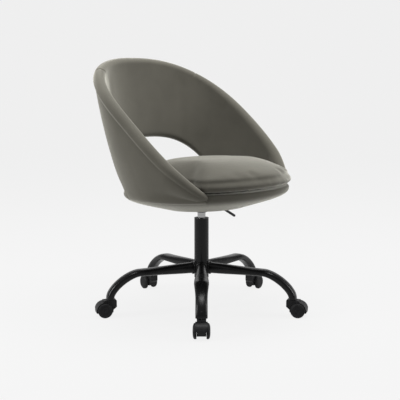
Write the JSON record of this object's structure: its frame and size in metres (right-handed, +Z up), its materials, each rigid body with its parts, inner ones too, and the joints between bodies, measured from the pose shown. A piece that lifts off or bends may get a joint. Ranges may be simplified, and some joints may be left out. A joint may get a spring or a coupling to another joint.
{
  "type": "swivel office chair",
  "caption": "Tub swivel chair with padded rim, open back window and loose cushion, on a height-adjustable gas column, steel star base and twin-wheel casters.",
  "frame": {"origin": "the column's axis at floor level, under the middle of the star base", "axes": "+Z up, the sitter faces -Y, +X is the sitter's left, where the height lever is"},
  "size_m": [0.7043, 0.724, 0.8716],
  "materials": {
    "black_powder_coat": "semi-gloss powder coat",
    "black_mechanism_paint": "satin paint",
    "black_sleeve_plastic": "satin moulded sleeve",
    "bearing_plastic": "matte acetal",
    "bright_steel": "ground steel",
    "zinc_plated_steel": "zinc plating",
    "bump_rubber": "moulded rubber",
    "chrome_plate": "polished chrome plating",
    "plywood": "raw birch plywood",
    "beech": "raw beech",
    "frame_tube": "primer",
    "velvet_base": "short-pile velvet",
    "velvet_cushion": "short-pile velvet",
    "velvet_back": "short-pile velvet",
    "velvet_rim": "short-pile velvet",
    "black_nylon_hood": "satin moulded nylon",
    "black_nylon_wheel": "satin moulded nylon"
  },
  "bodies": {
    "base": {"base_hub": "black_powder_coat", "leg_1": "black_powder_coat", "leg_2": "black_powder_coat", "leg_3": "black_powder_coat", "leg_4": "black_powder_coat", "leg_5": "black_powder_coat", "leg_sleeves": "bearing_plastic", "column_tube": "black_powder_coat", "guide_bushing": "bearing_plastic", "lower_race": "bright_steel"},
    "spindle": {"piston_rod": "bright_steel", "piston_head": "bearing_plastic", "upper_race": "bright_steel", "ball_cage": "bright_steel", "bump_stop": "bump_rubber", "retaining_clip": "bright_steel"},
    "seat": {"gas_cylinder": "chrome_plate", "cylinder_gland": "bearing_plastic", "mount_socket": "black_mechanism_paint", "mount_plate": "black_mechanism_paint", "plate_bolts": "zinc_plated_steel", "tee_nuts": "zinc_plated_steel", "lever_pivot": "bright_steel", "seat_board": "plywood", "seat_base": "velvet_base", "seat_cushion": "velvet_cushion", "back_shell": "velvet_back", "rim_roll": "velvet_rim", "rim_hoop": "frame_tube", "back_dowels": "beech"},
    "lever": {"lever_rod": "black_mechanism_paint", "lever_grip": "black_sleeve_plastic"},
    "button": {"release_button": "bright_steel"},
    "caster_1": {"caster_hood_1": "black_nylon_hood", "caster_stem_1": "bright_steel", "caster_axle_1": "bright_steel"},
    "left_wheel_1": {"wheel_left_1": "black_nylon_wheel"},
    "right_wheel_1": {"wheel_right_1": "black_nylon_wheel"},
    "caster_2": {"caster_hood_2": "black_nylon_hood", "caster_stem_2": "bright_steel", "caster_axle_2": "bright_steel"},
    "left_wheel_2": {"wheel_left_2": "black_nylon_wheel"},
    "right_wheel_2": {"wheel_right_2": "black_nylon_wheel"},
    "caster_3": {"caster_hood_3": "black_nylon_hood", "caster_stem_3": "bright_steel", "caster_axle_3": "bright_steel"},
    "left_wheel_3": {"wheel_left_3": "black_nylon_wheel"},
    "right_wheel_3": {"wheel_right_3": "black_nylon_wheel"},
    "caster_4": {"caster_hood_4": "black_nylon_hood", "caster_stem_4": "bright_steel", "caster_axle_4": "bright_steel"},
    "left_wheel_4": {"wheel_left_4": "black_nylon_wheel"},
    "right_wheel_4": {"wheel_right_4": "black_nylon_wheel"},
    "caster_5": {"caster_hood_5": "black_nylon_hood", "caster_stem_5": "bright_steel", "caster_axle_5": "bright_steel"},
    "left_wheel_5": {"wheel_left_5": "black_nylon_wheel"},
    "right_wheel_5": {"wheel_right_5": "black_nylon_wheel"}
  },
  "joints": [
    {"name": "seat_swivel", "type": "hinge", "parent": "base", "child": "spindle", "pos_m": [0, 0, 0.2], "axis": [0, 0, 1], "continuous": true},
    {"name": "seat_height", "type": "slide", "parent": "spindle", "child": "seat", "axis": [0, 0, 1], "range_m": [0, 0.1]},
    {"name": "height_lever", "type": "hinge", "parent": "seat", "child": "lever", "pos_m": [0.03, 0, 0.388], "axis": [0, -1, 0], "range_deg": [0, 6], "stiffness_Nm_per_rad": 12},
    {"name": "release_valve", "type": "slide", "parent": "seat", "child": "button", "axis": [0, 0, -1], "range_m": [0, 0.0032]},
    {"name": "caster_swivel_1", "type": "hinge", "parent": "base", "child": "caster_1", "pos_m": [-0.24973, -0.20955, 0.06], "axis": [0, 0, 1], "continuous": true},
    {"name": "left_wheel_spin_1", "type": "hinge", "parent": "caster_1", "child": "left_wheel_1", "pos_m": [-0.26543, -0.22273, 0.025], "axis": [0.6428, -0.766, 0], "continuous": true},
    {"name": "right_wheel_spin_1", "type": "hinge", "parent": "caster_1", "child": "right_wheel_1", "pos_m": [-0.26543, -0.22273, 0.025], "axis": [0.6428, -0.766, 0], "continuous": true},
    {"name": "caster_swivel_2", "type": "hinge", "parent": "base", "child": "caster_2", "pos_m": [0.12212, -0.30226, 0.06], "axis": [0, 0, 1], "continuous": true},
    {"name": "left_wheel_spin_2", "type": "hinge", "parent": "caster_2", "child": "left_wheel_2", "pos_m": [0.1298, -0.32127, 0.025], "axis": [0.9272, 0.3746, 0], "continuous": true},
    {"name": "right_wheel_spin_2", "type": "hinge", "parent": "caster_2", "child": "right_wheel_2", "pos_m": [0.1298, -0.32127, 0.025], "axis": [0.9272, 0.3746, 0], "continuous": true},
    {"name": "caster_swivel_3", "type": "hinge", "parent": "base", "child": "caster_3", "pos_m": [0.32521, 0.02274, 0.06], "axis": [0, 0, 1], "continuous": true},
    {"name": "left_wheel_spin_3", "type": "hinge", "parent": "caster_3", "child": "left_wheel_3", "pos_m": [0.34566, 0.02417, 0.025], "axis": [-0.0698, 0.9976, 0], "continuous": true},
    {"name": "right_wheel_spin_3", "type": "hinge", "parent": "caster_3", "child": "right_wheel_3", "pos_m": [0.34566, 0.02417, 0.025], "axis": [-0.0698, 0.9976, 0], "continuous": true},
    {"name": "caster_swivel_4", "type": "hinge", "parent": "base", "child": "caster_4", "pos_m": [0.07887, 0.31632, 0.06], "axis": [0, 0, 1], "continuous": true},
    {"name": "left_wheel_spin_4", "type": "hinge", "parent": "caster_4", "child": "left_wheel_4", "pos_m": [0.08383, 0.33621, 0.025], "axis": [-0.9703, 0.2419, 0], "continuous": true},
    {"name": "right_wheel_spin_4", "type": "hinge", "parent": "caster_4", "child": "right_wheel_4", "pos_m": [0.08383, 0.33621, 0.025], "axis": [-0.9703, 0.2419, 0], "continuous": true},
    {"name": "caster_swivel_5", "type": "hinge", "parent": "base", "child": "caster_5", "pos_m": [-0.27646, 0.17275, 0.06], "axis": [0, 0, 1], "continuous": true},
    {"name": "left_wheel_spin_5", "type": "hinge", "parent": "caster_5", "child": "left_wheel_5", "pos_m": [-0.29385, 0.18362, 0.025], "axis": [-0.5299, -0.848, 0], "continuous": true},
    {"name": "right_wheel_spin_5", "type": "hinge", "parent": "caster_5", "child": "right_wheel_5", "pos_m": [-0.29385, 0.18362, 0.025], "axis": [-0.5299, -0.848, 0], "continuous": true}
  ],
  "couplings": [
    {"joint": "release_valve", "follows": "height_lever", "m_per_rad": 0.03}
  ]
}
